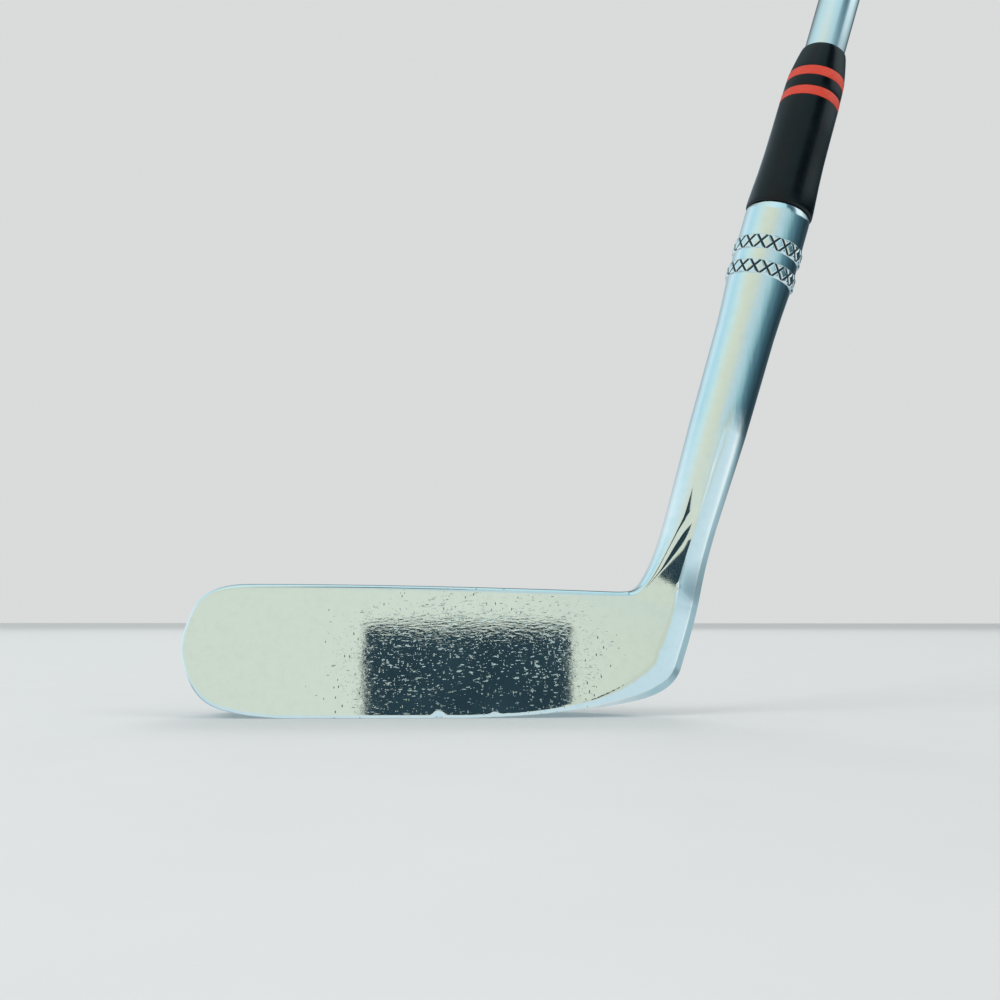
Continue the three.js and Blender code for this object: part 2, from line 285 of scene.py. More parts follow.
def make_chrome():
    m, b = shader("chrome_plate", CHROME, 0.07, 1.0)
    n = Nodes(m)
    vec = n.coords()
    split = n.add("SeparateXYZ")
    n.link(vec, split.inputs[0])
    x, y, z = split.outputs
    # where balls have struck: the middle of the blade, fading outwards and up to the top line
    dx = n.math("DIVIDE", n.math("ABSOLUTE", n.math("SUBTRACT", x, PATCH_X)), PATCH_W)
    dz = n.math("DIVIDE", n.math("ABSOLUTE", n.math("SUBTRACT", z, PATCH_Z)), PATCH_H)
    far = n.math("ADD", n.math("POWER", dx, 2.6), n.math("POWER", dz, 2.6))
    far = n.math("POWER", far, 0.4)
    ragged = n.noise(vec, 0.22, 3)
    hit = n.ramp(n.math("ADD", far, n.math("MULTIPLY", ragged, 0.5)), 1.4, 0.8)
    on_face = n.ramp(y, -2.2, -3.0)
    hit = n.math("MULTIPLY", hit, n.math("MULTIPLY", on_face, n.ramp(z, 29.5, 27.5)))
    hit = n.math("MULTIPLY", hit, n.ramp(z, 26.0, 19.0, (0.35, 1.0)))
    # round pits, long marks at two slants, steep ones, and a fine roughness under them all
    pits = dents(n, vec, 1.4, 0.24, 0.6, (1, 1, 1.5), 0.2)
    long_a = n.ramp(n.noise(n.coords((0.55, 1, 1.5), (0, 0.16, 0)), 1.35, 3, 0.66), 0.62, 0.74)
    long_b = dents(n, vec, 0.8, 0.2, 0.4, (0.5, 1, 2.6), -0.35)
    steep = dents(n, vec, 0.55, 0.2, 0.62, (2.4, 1, 0.9), 0.5)
    fine = n.noise(n.coords((0.5, 1, 1.7)), 1.3, 2, 0.5)
    # the marks are deeper in the upper half of the struck area, and fainter in the lower
    long_a = n.math("MULTIPLY", long_a, n.ramp(z, 6.0, 15.0, (0.5, 1.25)))
    marks = n.math("MAXIMUM", long_a, n.math("MULTIPLY", long_b, 0.8))
    marks = n.math("ADD", marks, n.math("MULTIPLY", pits, 0.42))
    rough = n.math("ADD", n.math("MULTIPLY", steep, 0.9), n.math("MULTIPLY", fine, 0.32))
    marks = n.math("ADD", marks, rough)
    marks = n.math("MULTIPLY", marks, n.ramp(z, 3.0, 14.0, (0.55, 1.0)))
    marks = n.math("MULTIPLY", marks, n.math("MULTIPLY", hit, -1.0))
    # a few stray nicks anywhere, a soft polishing wave, hair scratches
    stray = dents(n, vec, 0.11, 0.045, 0.5, (0.5, 1, 1.6), 0.8)
    wave = n.noise(vec, 0.09, 2, 0.4)
    normal = n.bump(marks, 0.6, 0.00006)
    normal = n.bump(n.math("MULTIPLY", stray, -1.0), 0.4, 0.00008, normal)
    normal = n.bump(wave, 0.1, 0.0002, normal)
    # long draw marks up the hosel
    draw = n.noise(n.coords((1.0, 1.0, 0.09), ALONG_SHAFT), 0.34, 3, 0.5)
    draw = n.math("MULTIPLY", draw, n.ramp(z, 52.0, 70.0))
    normal = n.bump(draw, 0.35, 0.0003, normal)
    hair = n.noise(n.coords((0.25, 1, 6.0), (0, 0.5, 0)), 1.3, 5, 0.7)
    n.link(n.bump(hair, 0.05, 0.00002, normal), b.inputs["Normal"])
    haze = n.noise(vec, 0.5, 5, 0.65)
    n.link(n.ramp(haze, 0.35, 0.75, (0.03, 0.07)), b.inputs["Roughness"])
    tint = n.mix(n.ramp(haze, 0.4, 0.8), (0.87, 0.9, 0.885), (0.83, 0.855, 0.84))
    # painted dark reflection: the deeper dings and the stray nicks are painted a dark teal, less
    # in the middle of the struck area
    scars = n.math("MAXIMUM", long_b, steep)
    scars = n.math("MULTIPLY", scars, n.ramp(hit, 0.0, 0.12))
    outskirts = n.ramp(hit, 0.5, 0.95, (0.8, 0.3))
    painted_dark_in_dings = n.math("MULTIPLY", n.ramp(n.math("MAXIMUM", scars, stray), 0.2, 0.5), outskirts)
    n.link(n.mix(painted_dark_in_dings, tint, (0.03, 0.06, 0.065)), b.inputs["Base Color"])
    return m


def make_tube():
    m, b = shader("steel_tube", (0.84, 0.87, 0.88), 0.08, 1.0)
    n = Nodes(m)
    drawn = n.noise(n.coords((6, 6, 0.12), ALONG_SHAFT), 0.8, 4, 0.6)
    n.link(n.bump(drawn, 0.06, 0.00003), b.inputs["Normal"])
    n.link(n.ramp(n.noise(n.coords(), 0.4, 4), 0.3, 0.8, (0.05, 0.13)), b.inputs["Roughness"])
    return m


def make_gloss(name, color, rough, wear, lighter):
    m, b = shader(name, color, rough, 0.0, IOR=1.36)
    n = Nodes(m)
    vec = n.coords()
    cloud = n.noise(vec, 0.35, 5, 0.6)
    n.link(n.mix(n.ramp(cloud, 0.45, 0.85), color, lighter), b.inputs["Base Color"])
    n.link(n.ramp(cloud, 0.3, 0.8, (rough, rough + wear)), b.inputs["Roughness"])
    scratch = n.noise(n.coords((1, 1, 5), (0, 0.7, 0)), 1.2, 5, 0.7)
    n.link(n.bump(scratch, 0.08, 0.00003), b.inputs["Normal"])
    return m


def make_leather():
    m, b = shader("leather", (0.045, 0.027, 0.018), 0.5)
    n = Nodes(m)
    vec = n.coords()
    grain = n.add("TexVoronoi", feature="DISTANCE_TO_EDGE")
    grain.inputs["Scale"].default_value = 1.1
    n.link(vec, grain.inputs["Vector"])
    creases = n.ramp(grain.outputs["Distance"], 0.0, 0.16)
    cloud = n.noise(vec, 0.06, 5, 0.6)
    shine = n.noise(vec, 0.02, 3)
    col = n.mix(n.ramp(cloud, 0.35, 0.75), (0.036, 0.021, 0.014), (0.085, 0.05, 0.032))
    dark = n.ramp(creases, 0.0, 1.0, (0.5, 0.0))
    n.link(n.mix(dark, col, (0.018, 0.011, 0.008)), b.inputs["Base Color"])
    n.link(n.ramp(shine, 0.35, 0.7, (0.36, 0.62)), b.inputs["Roughness"])
    pores = n.noise(vec, 2.6, 3)
    h = n.math("ADD", creases, n.math("MULTIPLY", pores, 0.35))
    n.link(n.bump(h, 0.4, 0.0002), b.inputs["Normal"])
    return m


def make_plain(name, color, rough, metal, grain, depth, other, stretch=(1, 1, 1)):
    m, b = shader(name, color, rough, metal)
    n = Nodes(m)
    f = n.noise(n.coords(stretch), grain, 5, 0.6)
    n.link(n.mix(n.ramp(f, 0.35, 0.7), color, other), b.inputs["Base Color"])
    n.link(n.ramp(f, 0.3, 0.7, (rough, min(1, rough + 0.12))), b.inputs["Roughness"])
    n.link(n.bump(f, 0.3, depth), b.inputs["Normal"])
    return m


def make_knurled():
    """Chrome with painted shade: its cuts are painted near-black, read from the mesh's own `cut`
    value.
    """
    m, b = shader("knurled_chrome", CHROME, 0.1, 1.0)
    n = Nodes(m)
    att = n.add("Attribute", attribute_name="cut")
    deep = n.ramp(att.outputs["Fac"], 0.3, 0.75)
    # painted shade: the deep part of each cut is painted near-black teal, rougher and less
    # metallic
    n.link(n.mix(deep, (0.86, 0.89, 0.88), (0.01, 0.028, 0.034)), b.inputs["Base Color"])
    n.link(n.ramp(deep, 0.0, 1.0, (0.1, 0.55)), b.inputs["Roughness"])
    n.link(n.ramp(deep, 0.2, 1.0, (1.0, 0.2)), b.inputs["Metallic"])
    n.link(n.bump(n.noise(n.coords(), 2.0, 4), 0.15, 0.00004), b.inputs["Normal"])
    return m


chrome = make_chrome()
knurled = make_knurled()
tube_steel = make_tube()
black = make_gloss("black_acetate", (0.0008, 0.001, 0.0013), 0.12, 0.1, (0.003, 0.0035, 0.004))
red = make_gloss("red_acetate", (0.68, 0.062, 0.035), 0.2, 0.12, (0.72, 0.1, 0.06))
leather = make_leather()
rubber = make_plain("rubber", (0.02, 0.02, 0.021), 0.75, 0.0, 0.5, 0.0001, (0.035, 0.034, 0.033))
brass = make_plain("brass", (0.62, 0.44, 0.2), 0.3, 1.0, 0.4, 0.00005, (0.5, 0.36, 0.18))
cork = make_plain("cork", (0.5, 0.32, 0.17), 0.9, 0.0, 0.6, 0.0003, (0.28, 0.16, 0.08))
epoxy = make_plain("epoxy", (0.66, 0.58, 0.4), 0.35, 0.0, 0.3, 0.0001, (0.56, 0.48, 0.32))
tape = make_plain("tape", (0.62, 0.57, 0.45), 0.9, 0.0, 1.6, 0.0001, (0.5, 0.45, 0.35))
nickel = make_plain(
    "nickel", (0.7, 0.71, 0.72), 0.25, 1.0, 1.5, 0.00003, (0.6, 0.61, 0.62), (1, 6, 1))

# the pieces that keep their CAD meshes
for node, mat in {
    "epoxy_sleeve": epoxy, "tip_weight": brass, "shaft_tip_plug": cork, "grip_tape": tape,
    "grip_underlisting": rubber, "butt_plug": cork, "cap_screw": nickel,
}.items():
    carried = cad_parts[node].data.materials
    carried.clear()
    carried.append(mat)


# ---------------------------------------------------------------- the head
def bezier(*p, n=24):
    t = np.linspace(0, 1, n)[:, None]
    p = np.array(p, float)
    start = (1 - t) ** 3 * p[0] + 3 * t * (1 - t) ** 2 * p[1]
    return start + 3 * t * t * (1 - t) * p[2] + t ** 3 * p[3]


def join(*runs):
    """One run of points from several, without the doubled ones where they meet."""
    out = [np.atleast_2d(np.array(runs[0], float))]
    for r in runs[1:]:
        r = np.atleast_2d(np.array(r, float))
        out.append(r[1:] if np.allclose(out[-1][-1], r[0]) else r)
    return np.vstack(out)


def xz(e, s):
    """Point in the plane of the outline beside the axis: e to the side, s up from the mouth."""
    p = MOUTH + SIDE * e + UP * s
    return np.array([p[0], p[2]])


def along(poly, marks):
    """Arc lengths of the points of poly nearest to each mark, and a sampler by arc length."""
    seg = np.linalg.norm(np.diff(poly, axis=0), axis=1)
    cum = np.concatenate([[0], np.cumsum(seg)])
    where = [cum[np.argmin(((poly - np.array(m)) ** 2).sum(1))] for m in marks]
    return where, lambda u: np.stack([np.interp(u, cum, poly[:, k]) for k in (0, 1)], 1)


def head_outline():
    """The toe's arc from top to bottom, the inner edge (top line, fillet, hosel's left) and the
    outer edge (sole, heel, hosel's right), as (x, z) points."""
    toe = join(
        bezier((-32, 28.7), (-38.6, 28.8), (-42.8, 27.4), (-44.9, 23.0)),
        bezier((-44.9, 23.0), (-46.5, 19.0), (-47.6, 15.6), (-46.5, 12.0)),
        bezier((-46.5, 12.0), (-44.8, 6.2), (-42.4, 2.9), (-37.0, 1.6)),
        bezier((-37.0, 1.6), (-34.6, 1.05), (-33.4, 0.8), (-32, 0.62)),
    )
    hosel_s = np.linspace(-80, 0.0, 200)
    left = np.array([xz(-float(hosel_r(s)), s) for s in hosel_s])
    right = np.array([xz(float(hosel_r(s)), s) for s in hosel_s])
    inner = join(
        bezier((-32, 28.7), (-10, 28.75), (20, 28.1), (44, 27.25), n=80),
        bezier((44, 27.25), (50.2, 27.0), (51.6, 26.9), (53.2, 29.3), n=40),
        bezier((53.2, 29.3), (54.4, 31.2), xz(-6.1, -86), left[0], n=30),
        left,
    )
    outer = join(
        bezier((-32, 0.62), (-27, 0.05), (-25, 0.0), (-22, 0.0)),
        [(-22, 0.0), (14, 0.0)],
        bezier((14, 0.0), (28, 0.3), (40, 1.4), (50.4, 3.2), n=50),
        bezier((50.4, 3.2), (56.6, 4.3), (60.4, 6.2), (61.9, 10.2), n=40),
        bezier((61.9, 10.2), (63.2, 14.2), (64.9, 19.2), (65.9, 23.3), n=40),
        bezier((65.9, 23.3), xz(6.55, -91), xz(5.95, -87), right[0], n=40),
        right,
    )
    return toe, inner, outer


def up_axis(x, z):
    """How far (x, z) lies up the shaft's axis from the mouth."""
    return (x - MOUTH[0]) * UP[0] + (z - MOUTH[2]) * UP[2]


def distance_to(points, lines):
    """From each point to the nearest of the lines, a share of the points at a time."""
    a = np.vstack([line[:-1] for line in lines])
    d = np.vstack([line[1:] for line in lines]) - a
    dd = (d * d).sum(1)
    out = np.empty(len(points))
    for i in range(0, len(points), 2000):
        q = points[i : i + 2000, None, :] - a[None]
        t = np.clip((q * d).sum(2) / dd, 0, 1)
        out[i : i + 2000] = np.sqrt(((q - t[..., None] * d) ** 2).sum(2)).min(1)
    return out


def rounded(surface, depth, radius):
    """A surface rounded off within a radius of the rim. depth is the distance in from the rim."""
    depth = np.minimum(depth, radius)
    return surface - radius + np.sqrt(np.maximum(radius ** 2 - (radius - depth) ** 2, 0))


TOE_SPOKES, RINGS, WALLS = 90, 34, 8
FAR = 100  # lifts a surface out of a smin


def build_head():
    toe, inner, outer = head_outline()
    # matched stations on the inner and outer edges, and the number of spokes between each two
    keys_in = [
        (-32, 28.7), (30, 27.9), (46, 27.2), (51.6, 27.7),
        xz(-6.2, -87), xz(-5.95, -80), xz(-7.0, 0),
    ]
    keys_out = [
        (-32, 0.62), (30, 0.7), (45, 2.2), (60.1, 7.3),
        xz(6.4, -93), xz(5.95, -80), xz(7.0, 0),
    ]
    counts = [150, 30, 40, 40, 16, 170]

    def stations(edge, keys):
        marks, sample = along(edge, keys)
        u = [marks[0]]
        for k, c in enumerate(counts):
            u += list(np.linspace(marks[k], marks[k + 1], c + 1)[1:])
        return sample(np.array(u))

    p_in, p_out = stations(inner, keys_in), stations(outer, keys_out)
    spine = (p_in + p_out) / 2
    ends, at_toe = along(toe, [toe[0], toe[-1]])
    p_toe = at_toe(np.linspace(ends[0], ends[1], TOE_SPOKES + 1))[1:-1]

    # spokes from the rim in to the spine, going once round the outline: down the hosel's left to
    # the toe, round it, and back up the hosel's right
    rim = np.vstack([p_in[::-1], p_toe, p_out])
    mid = np.vstack([spine[::-1], np.repeat(spine[:1], len(p_toe), 0), spine])
    frac = 1 - np.cos(np.linspace(0, math.pi / 2, RINGS + 1))
    pts = rim[:, None, :] + frac[None, :, None] * (mid - rim)[:, None, :]
    X, Z = pts[..., 0], pts[..., 1]
    S = up_axis(X, Z)
    D = distance_to(pts.reshape(-1, 2), (toe, inner, outer)).reshape(X.shape)
    D[:, 0] = 0
    # how far each spoke belongs to the hosel, and to the heel, from its rim point
    rim_x, rim_z = rim[:, 0], rim[:, 1]
    rim_s = up_axis(rim_x, rim_z)
    order = np.arange(len(rim))
    is_in, is_out = order < len(p_in), order >= len(p_in) + len(p_toe)
    w_hosel = np.where(is_out, smootherstep(-94, -44, rim_s), smootherstep(-100, -85, rim_s))
    w_hosel = np.where(is_in & (rim_x < 50), 0, w_hosel)
    w_hosel = np.where(is_out & (rim_z < 20), 0, w_hosel)[:, None]
    w_heel = np.where(is_out, smoothstep(26, 36, rim_x), 0.0)[:, None]

    # front: the face plane, and the scoop that leaves it up the neck
    face = FACE_D - LOFT_SLOPE * Z
    up_neck = S - SCOOP_S
    up_neck = (up_neck + np.sqrt(up_neck ** 2 + SCOOP_SOFT)) / 2
    scoop = face + SCOOP_START * up_neck + up_neck ** 2 / (2 * SCOOP_R)
    edge_r = np.interp(rim_x, [-47, -40, -30, -10], [1.25, 1.15, 0.85, 0.75])[:, None]
    thin = rounded(face, D, edge_r) + 1.5 * np.maximum(D - edge_r, 0)

    def by_rim_x(*values):
        return np.interp(rim_x[:, None], [26, 36, 43, 48, 53, 57, 60, 62.5, 66], values)

    # heel: an outer wall up to a crease, then a broad rounded bevel up to the face
    total = by_rim_x(0.75, 1.1, 2.0, 3.4, 5.4, 6.7, 6.8, 6.3, 5.7)
    wall_w = by_rim_x(0.2, 0.4, 0.7, 1.1, 1.6, 1.9, 1.9, 1.8, 1.7)
    drop = by_rim_x(0.3, 0.35, 0.5, 0.8, 1.3, 1.7, 1.8, 1.7, 1.6)
    wall_h = by_rim_x(0.5, 0.7, 1.0, 1.5, 2.1, 2.5, 2.6, 2.5, 2.4)
    wall = face - drop - wall_h * (1 - D / wall_w)
    t = np.clip((D - wall_w) / (total - wall_w), 0, 1)
    bevel = face - drop * (0.55 * (1 - t) + 0.45 * (1 - t) ** 2)
    heel = smin(wall + FAR * (D > wall_w * 1.6), bevel, 0.22) + 2.5 * np.maximum(D - total, 0)
    R = hosel_r(S)
    barrel = np.sqrt(np.maximum(R ** 2 - (R - np.minimum(D, R)) ** 2, 0))
    edge = thin * (1 - w_heel) + heel * w_heel
    edge = edge * (1 - w_hosel) + barrel * w_hosel
    up_heel = smoothstep(-96, -86, S)
    soft = 0.12 + 1.1 * up_heel
    front = np.where(scoop > edge + soft, edge, smin(edge, scoop, soft))
    front = np.where(D < 1e-6, np.minimum(front, edge), front)
    # three small nicks in the leading edge
    above = (np.maximum(Z - 0.3, 0) / 0.7) ** 2
    for nick_x, wide, deep in ((8.7, 0.75, 0.95), (20.7, 0.5, 0.45), (33.5, 0.4, 0.3)):
        front = front - deep * np.exp(-(((X - nick_x) / wide) ** 2) - above)

    # back: blade, flange and neck
    flange_z = np.interp(
        Z,
        [-1, 0, 0.5, 1.2, 2.2, 3.6, 4.8, 5.7, 6.4, 7.0, 7.8, 8.8, 10.2, 12, 14.5, 17.5, 40],
        [15.4, 15.7, 16.25, 16.7, 16.95, 17, 16.75, 16.1, 15.0, 13.2, 10.8, 8.6, 6.7, 5.2, 4.1,
         3.3, 3.0],
    )
    plan = np.interp(
        X,
        [-48, -46.6, -45.6, -44, -42, -39, -35, -30, -22, -10, 5, 16, 24, 32, 40, 48, 56, 62, 70],
        [1, 3.2, 6.6, 9.8, 12.2, 14.4, 16.0, 16.8, 17.1, 17.25, 17.2, 16.7, 15.7, 13.9, 11.2, 7.9,
         4.8, 3.0, 2.5],
    )
    body = smax(BACK_D + LOFT_SLOPE * Z, smin(flange_z, plan, 1.6), 0.8)
    scoop_b = body + np.maximum(S - BACK_SCOOP_S, 0) ** 2 / (2 * BACK_SCOOP_R)
    edge_b = rounded(body, D, THIN_EDGE_BACK) * (1 - w_hosel) + barrel * w_hosel
    # the heel's back is rounded off more than the rest
    heel_b = rounded(np.minimum(body, 4.2), D, HEEL_BACK_R)
    w_heel_b = w_heel * smoothstep(46, 60, rim_x)[:, None]
    edge_b = edge_b * (1 - w_heel_b * (1 - w_hosel)) + heel_b * w_heel_b * (1 - w_hosel)
    blended = smin(edge_b, scoop_b, 0.25 + 0.75 * up_heel)
    back = np.where(scoop_b > edge_b + 1.0, edge_b, blended)

    # each spoke runs from the spine out over the front, round the rim and back over the back
    F = np.stack([X, -front, Z], 2)
    B = np.stack([X, back, Z], 2)
    layers = [F[:, j] for j in range(RINGS, -1, -1)]
    for k in range(1, WALLS):
        layers.append(F[:, 0] + (B[:, 0] - F[:, 0]) * k / WALLS)
    layers += [B[:, j] for j in range(RINGS + 1)]
    grid = np.stack(layers, 1)
    cols = grid.shape[1]
    faces = []
    for i in range(len(rim) - 1):
        for j in range(cols - 1):
            a = i * cols + j
            faces.append((a, a + cols, a + cols + 1, a + 1))
    me = bpy.data.meshes.new("head_forging")
    me.from_pydata([tuple(v) for v in grid.reshape(-1, 3) * MM], [], faces)

    bm = bmesh.new()
    bm.from_mesh(me)
    bmesh.ops.remove_doubles(bm, verts=bm.verts, dist=2e-6)
    bmesh.ops.dissolve_degenerate(bm, edges=bm.edges, dist=1e-7)

    def open_edges():
        return [e for e in bm.edges if e.is_boundary]

    def extruded():
        made = bmesh.ops.extrude_edge_only(bm, edges=open_edges())["geom"]
        return [g for g in made if isinstance(g, bmesh.types.BMVert)]

    # the hosel's open mouth gets a lip, which runs down into the bore and closes at its floor
    centre, axis = Vector(MOUTH * MM), Vector(UP)
    for v in extruded():
        off = v.co - centre
        radial = off - axis * off.dot(axis)
        v.co = centre + radial.normalized() * (BORE_R * MM)
    for v in extruded():
        v.co -= axis * (BORE_DEPTH * MM)
    bmesh.ops.edgeloop_fill(bm, edges=open_edges())
    bmesh.ops.recalc_face_normals(bm, faces=bm.faces)
    bm.to_mesh(me)
    bm.free()
    me.update()
    ob = piece("head_forging", me, chrome, angle=40)
    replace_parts(ob, "blade_head")


build_head()

KNURLS = 17  # crossed cuts round a band
KNURL_R, KNURL_RISE = 7.46, 0.4  # radius at the cuts' floor, and the height of the metal between
CUT_W, SWELL_W = 0.31, 0.62


def knurl(name, s_top, s_low):
    """A knurled band: one row of crossed cuts round the hosel, with the metal between raised."""
    rows, cols = 34, KNURLS * 30
    v = np.linspace(0, 1, rows)
    ang = np.linspace(0, 2 * math.pi, cols, endpoint=False)
    V, A = np.meshgrid(v, ang, indexing="ij")
    u = (A / (2 * math.pi) * KNURLS) % 1.0
    h, p = s_top - s_low, 2 * math.pi * 7.6 / KNURLS
    slope = math.hypot(h, p)
    rise = np.abs(V - u) * h * p / slope
    fall = np.abs(V - (1 - u)) * h * p / slope
    near = np.minimum(rise, fall)
    cut = np.exp(-((near / CUT_W) ** 2))
    swell = np.sin(np.clip(near / SWELL_W, 0, 1) * math.pi / 2)
    ends = smoothstep(0, 0.12, V) * smoothstep(0, 0.12, 1 - V)
    r = KNURL_R + ends * KNURL_RISE * swell
    r[0] = r[-1] = 7.2
    S = s_low + V * h
    S[0] = s_low + 0.02
    S[-1] = s_top - 0.02
    low, top = (
        at(6.9 * np.cos(ang), 6.9 * np.sin(ang), np.full(cols, s)).reshape(-1, 3)
        for s in (s_low, s_top)
    )
    verts = np.vstack([low, at(r * np.cos(A), r * np.sin(A), S).reshape(-1, 3), top])
    ob = mesh_object(name, verts, ring_faces(rows + 2, cols), knurled)
    # mask of the painted shade in the cuts: how deep in a cut each point lies, faded at the band's
    # ends, kept as `cut`
    depth = np.concatenate([np.zeros(cols), (ends * cut).ravel(), np.zeros(cols)])
    ob.data.attributes.new("cut", "FLOAT", "POINT").data.foreach_set("value", depth)


knurl("knurl_band_upper", -8.3, -12.0)
knurl("knurl_band_lower", -14.4, -18.0)

# ---------------------------------------------------------------- ferrule and shaft
ferrule = [
    ("ferrule_body_shell", "ferrule_body", black, "black_acetate",
     [[7.55, 0.12], [7.7, 0.5], [7.7, 1.6], [7.5, 5], [7.24, 9], [7.04, 14], [6.94, 20],
      [6.88, 27.45]]),
    ("lower_red_ring", "lower_trim_ring", red, "red_acetate", [[6.9, 27.48], [6.83, 29.74]]),
    ("spacer_ring", "ferrule_spacer_ring", black, "black_acetate", [[6.8, 29.77], [6.72, 32.66]]),
    ("upper_red_ring", "upper_trim_ring", red, "red_acetate", [[6.72, 32.69], [6.6, 35.04]]),
    ("ferrule_top", "ferrule_top_ring", black, "black_acetate",
     [[6.56, 35.07], [6.4, 36.2], [6.16, 37.6], [5.92, 38.9], [5.66, 40.2], [5.44, 41.2],
      [5.26, 41.8], [5.0, 42.1]]),
]
for name, node, mat, slot, outer in ferrule:
    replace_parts(lathe(name, outer, 4.76, mat, radius=0.1), node)

# the tube widens in steps, one `gap` apart, between a plain tip and a plain butt section
TIP_R, BUTT_R, STEPS, FIRST, BUTT_SECTION = 4.7, 7.62, 11, 190, 290
butt_tube = BUTT_END - 4.4
gap = (butt_tube - BUTT_SECTION - FIRST) / (STEPS - 1)
shaft_profile = [[TIP_R - 0.25, -32.2], [TIP_R, -31.7]]
for i in range(STEPS):
    z = FIRST + i * gap
    a = TIP_R + (BUTT_R - TIP_R) * i / STEPS
    b = TIP_R + (BUTT_R - TIP_R) * (i + 1) / STEPS
    shaft_profile += [[a, z - 0.15], [a + 0.02, z], [b - 0.02, z + 0.6], [b, z + 0.75]]
shaft_profile.append([BUTT_R, butt_tube])
tube = lathe("stepped_tube", shaft_profile, 4.0, tube_steel, 128, 0.1)
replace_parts(tube, "shaft")

# ---------------------------------------------------------------- grip
GRIP_LENGTH = 266
GRIP_LOW = BUTT_END - GRIP_LENGTH
LEATHER_LOW, CAP_LOW = GRIP_LOW + 10, BUTT_END - 4
WRAP_PITCH, LAP, SEAM, PILLOW = 21.0, 0.55, 0.42, 0.16


def grip_r(s):
    return 10.2 + 3.6 * (s - GRIP_LOW) / GRIP_LENGTH


def grip_flat(s):
    """How far the thumb side's flat lies from the axis."""
    return 10.3 + 0.7 * (s - GRIP_LOW) / GRIP_LENGTH


def flatten(x, y, s, inset=0.0, k=0.8):
    """Cuts the thumb side of a round section back to the flat, with a soft corner."""
    return -smin(-x, grip_flat(s) - inset, k), y


def wrap():
    """The leather strip: each turn laps over the last, so its edge stands up along a helix."""
    rows, cols = 620, 120
    s = np.linspace(LEATHER_LOW + 3.05, CAP_LOW - 0.25, rows)
    ang = np.linspace(0, 2 * math.pi, cols, endpoint=False)
    Sg, A = np.meshgrid(s, ang, indexing="ij")
    phase = ((Sg - LEATHER_LOW) / WRAP_PITCH + A / (2 * math.pi)) % 1.0
    lap = LAP * phase ** 0.8
    seam = np.exp(-((np.minimum(phase, 1 - phase) * WRAP_PITCH / 0.5) ** 2)) * SEAM
    pillow = PILLOW * np.sin(np.pi * np.clip(phase * 1.02, 0, 1)) ** 0.7
    r = grip_r(Sg) - 0.62 + lap - seam + pillow
    x, y = r * np.cos(A), r * np.sin(A)
    x, y = flatten(x, y, Sg, 0.5 - lap + seam - pillow)
    outer = at(x, y, Sg).reshape(-1, 3)
    ends = []
    for where in (s[0], s[-1]):
        inner_r = grip_r(where) - 1.3
        x, y = flatten(inner_r * np.cos(ang), inner_r * np.sin(ang), np.full(cols, where), 1.3)
        ends.append(at(x, y, np.full(cols, where)).reshape(-1, 3))
    verts = np.vstack([ends[0], outer, ends[1]])
    faces = ring_faces(rows + 2, cols)
    ob = mesh_object("leather_wrap", verts, faces, leather, angle=60)
    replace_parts(ob, "grip_leather")


wrap()
ob = lathe(
    "collar",
    [[8.3, GRIP_LOW - 9], [8.75, GRIP_LOW - 8.2], [9.3, GRIP_LOW - 5.5], [9.75, GRIP_LOW - 1],
     [10.0, GRIP_LOW + 4], [10.2, LEATHER_LOW - 0.2]],
    7.8, black, radius=0.3)
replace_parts(ob, "grip_collar")
ob = lathe(
    "collar_red_ring", [[10.36, LEATHER_LOW], [10.36, LEATHER_LOW + 2.8]],
    8.1, red, radius=0.35)
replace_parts(ob, "collar_trim_ring")
ob = lathe(
    "end_cap",
    [[13.55, CAP_LOW], [13.75, CAP_LOW + 0.5], [13.75, CAP_LOW + 2.6], [13.2, BUTT_END - 0.35],
     [12.2, BUTT_END], [3.9, BUTT_END], [3.5, BUTT_END - 0.4], [1.85, BUTT_END - 2.2]],
    1.8, black, radius=0.2,
    shape=lambda x, y, s: flatten(x, y, s, 0.15, 0.5))
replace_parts(ob, "butt_cap")


# ---------------------------------------------------------------- stage
def plane(name, corners, material):
    me = bpy.data.meshes.new(name)
    me.from_pydata(corners, [], [tuple(range(len(corners)))])
    ob = linked(name, me)
    me.materials.append(material)
    return ob


def speckled(name, rough, socket, one, other, detail, **sockets):
    m, b = shader(name, (0.0, 0.0, 0.0), rough, **sockets)
    n = Nodes(m)
    n.link(n.mix(n.noise(n.coords(), 0.05, detail), one, other), b.inputs[socket])
    return m


FLOOR = 40
floor = plane(
    "floor", [(-FLOOR, -FLOOR, 0), (FLOOR, -FLOOR, 0), (FLOOR, FLOOR, 0), (-FLOOR, FLOOR, 0)],
    speckled("pale_floor", 0.65, "Base Color", (0.75, 0.755, 0.75), (0.72, 0.727, 0.722), 4))
floor.visible_glossy = False

# a dark card by the lens, a tapered flag nearer the neck and a low one beside the card, all seen
# only in reflections, as (x, z) corners at one y
# the cards glow a mottled dark teal by their own emission, painting dark reflections into the
# chrome
dark = speckled(
    "dark_card", 1.0, "Emission Color", (0.008, 0.024, 0.035), (0.026, 0.062, 0.084), 3,
    Emission_Strength=1.0)
CARD_Y, NECK_FLAG_Y = -0.235, -0.094
for name, y, corners in (
    ("dark_card", CARD_Y, [(-0.0315, -0.06), (0.0605, -0.06), (0.0605, 0.035), (-0.0315, 0.035)]),
    ("neck_flag", NECK_FLAG_Y, [(-0.056, 0.066), (0.026, 0.066), (-0.015, 0.093)]),
    ("low_flag", CARD_Y, [(0.077, -0.008), (0.098, -0.008), (0.087, -0.046), (0.080, -0.046)]),
):
    card = plane(name, [(x, y, z) for x, z in corners], dark)
    card.visible_camera = card.visible_diffuse = card.visible_shadow = False

